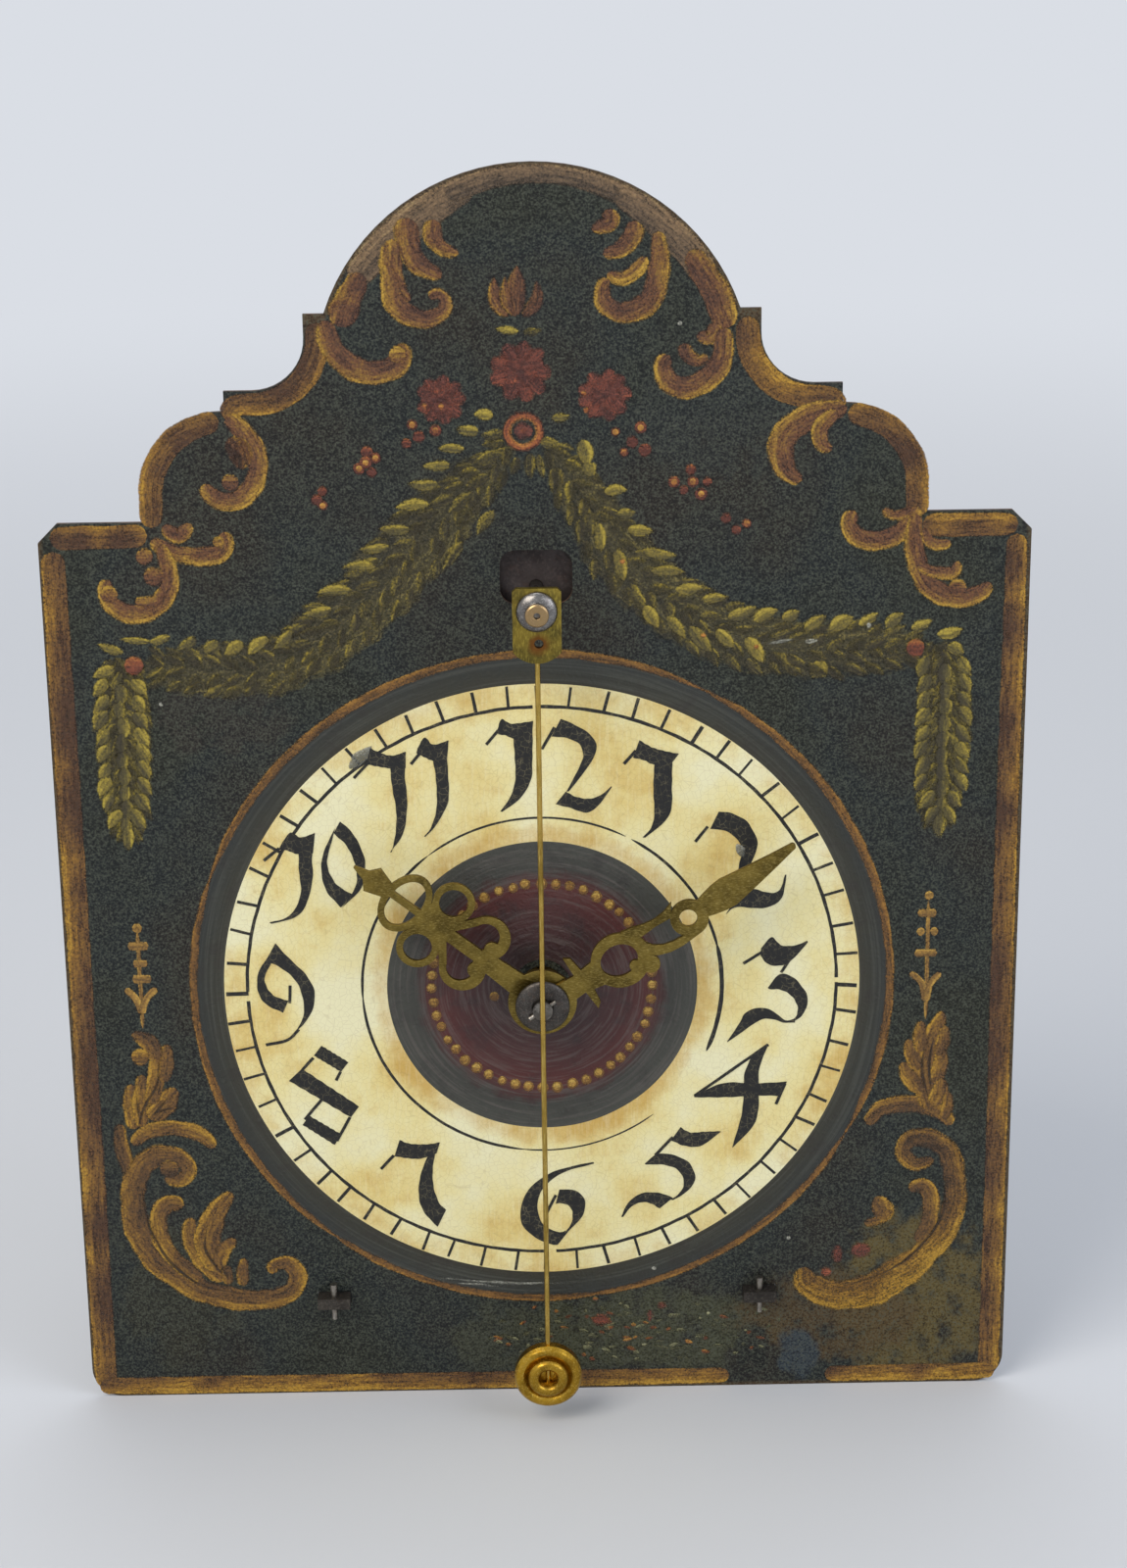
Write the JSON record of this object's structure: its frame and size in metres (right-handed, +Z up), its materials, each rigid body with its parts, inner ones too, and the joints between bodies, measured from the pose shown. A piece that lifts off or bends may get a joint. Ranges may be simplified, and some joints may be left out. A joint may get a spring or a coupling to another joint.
{
  "type": "weight-driven wall clock with a front pendulum",
  "caption": "Painted arched iron dial on an iron cage movement, with pierced brass hands and a short pendulum that swings in front of the dial.",
  "frame": {"origin": "middle of the clock on the plane that it stands on, halfway between the cap of the pendulum arbor in front and the tips of the wall spurs behind", "axes": "+X to the right as seen from the front, +Y from the dial back into the clock, +Z up"},
  "size_m": [0.24, 0.1074, 0.3224],
  "materials": {
    "painted_iron": "dark green-black oil paint, crazed",
    "wrought_iron": "forged, darkened",
    "rusty_iron": "brown oxide",
    "bright_steel": "filed",
    "blued_steel": "darkened, polished",
    "arbor_steel": "turned",
    "cast_brass": "filed and aged",
    "aged_brass": "sheet, dull",
    "turned_brass": "turned, polished"
  },
  "bodies": {
    "frame": {"dial_plate": "painted_iron", "dial_hooks": "wrought_iron", "taper_pins": "bright_steel", "bottom_plate": "wrought_iron", "top_plate": "wrought_iron", "post_front_left": "wrought_iron", "post_front_right": "wrought_iron", "post_back_left": "wrought_iron", "post_back_right": "wrought_iron", "feet": "wrought_iron", "finials": "wrought_iron", "front_bar": "wrought_iron", "back_bar": "wrought_iron", "bar_wedges": "bright_steel", "pivot_bushes": "cast_brass", "potence": "wrought_iron", "hanging_arch": "wrought_iron", "wall_spurs": "wrought_iron", "front_cock": "rusty_iron", "back_cock": "wrought_iron", "cock_screws": "bright_steel", "minute_stud": "arbor_steel", "stud_pin": "bright_steel"},
    "great_train": {"great_wheel": "cast_brass", "great_arbor": "arbor_steel", "click_screw": "bright_steel", "click_spring": "blued_steel"},
    "click_body": {"click": "blued_steel"},
    "pulley_body": {"rope_pulley": "cast_brass", "ratchet_wheel": "blued_steel"},
    "centre_train": {"centre_wheel": "cast_brass", "centre_arbor": "arbor_steel", "hand_washer": "blued_steel", "cross_pin": "bright_steel", "tension_collar": "cast_brass"},
    "second_train": {"second_wheel": "cast_brass", "second_arbor": "arbor_steel"},
    "contrate_train": {"contrate_wheel": "cast_brass", "contrate_arbor": "arbor_steel"},
    "crown_train": {"crown_wheel": "cast_brass", "crown_arbor": "arbor_steel"},
    "minute_body": {"cannon_wheel": "cast_brass", "tension_spring": "blued_steel", "minute_hand": "aged_brass"},
    "minute_wheel_body": {"minute_wheel": "cast_brass"},
    "hour_body": {"hour_wheel": "cast_brass", "hour_hand": "aged_brass"},
    "pendulum_body": {"verge": "arbor_steel", "verge_cap": "blued_steel", "pendulum_tongue": "aged_brass", "pendulum_rod": "aged_brass"},
    "bob_body": {"pendulum_bob": "turned_brass"}
  },
  "joints": [
    {"name": "crown_spin", "type": "hinge", "parent": "frame", "child": "crown_train", "pos_m": [0, 0.0087, 0.16788], "axis": [0, 0, 1], "continuous": true},
    {"name": "contrate_spin", "type": "hinge", "parent": "frame", "child": "contrate_train", "pos_m": [0, 0.0087, 0.16788], "axis": [0, 1, 0], "continuous": true},
    {"name": "second_spin", "type": "hinge", "parent": "frame", "child": "second_train", "pos_m": [-0.015, 0.0087, 0.14763], "axis": [0, 1, 0], "continuous": true},
    {"name": "centre_spin", "type": "hinge", "parent": "frame", "child": "centre_train", "pos_m": [0, 0.0087, 0.1149], "axis": [0, 1, 0], "continuous": true},
    {"name": "great_spin", "type": "hinge", "parent": "frame", "child": "great_train", "pos_m": [0, 0.0087, 0.0708], "axis": [0, 1, 0], "continuous": true},
    {"name": "pulley_wind", "type": "hinge", "parent": "great_train", "child": "pulley_body", "pos_m": [0, 0.0087, 0.0708], "axis": [0, 1, 0], "continuous": true},
    {"name": "click_lift", "type": "hinge", "parent": "great_train", "child": "click_body", "pos_m": [0.027, 0.0173, 0.0708], "axis": [0, -1, 0], "range_deg": [0, 12], "stiffness_Nm_per_rad": 0.004, "springref_deg": -17.19, "deforming": ["click_spring"]},
    {"name": "minute_hand_turn", "type": "hinge", "parent": "frame", "child": "minute_body", "pos_m": [0, -0.0313, 0.1149], "axis": [0, 1, 0], "continuous": true},
    {"name": "minute_wheel_turn", "type": "hinge", "parent": "frame", "child": "minute_wheel_body", "pos_m": [0, -0.0233, 0.0909], "axis": [0, 1, 0], "continuous": true},
    {"name": "hour_hand_turn", "type": "hinge", "parent": "frame", "child": "hour_body", "pos_m": [0, -0.0313, 0.1149], "axis": [0, 1, 0], "continuous": true},
    {"name": "pendulum_swing", "type": "hinge", "parent": "frame", "child": "pendulum_body", "pos_m": [0, -0.0313, 0.21898], "axis": [0, 1, 0], "range_deg": [-16, 16]},
    {"name": "bob_slide", "type": "slide", "parent": "pendulum_body", "child": "bob_body", "axis": [0, 0, 1], "range_m": [-0.002, 0.008]}
  ],
  "couplings": [
    {"joint": "contrate_spin", "follows": "crown_spin", "ratio": 0.18182},
    {"joint": "second_spin", "follows": "crown_spin", "ratio": -0.030303},
    {"joint": "centre_spin", "follows": "crown_spin", "ratio": 0.0037879},
    {"joint": "great_spin", "follows": "crown_spin", "ratio": -0.00063131},
    {"joint": "minute_wheel_turn", "follows": "minute_hand_turn", "ratio": -0.33333},
    {"joint": "hour_hand_turn", "follows": "minute_hand_turn", "ratio": 0.083333}
  ]
}
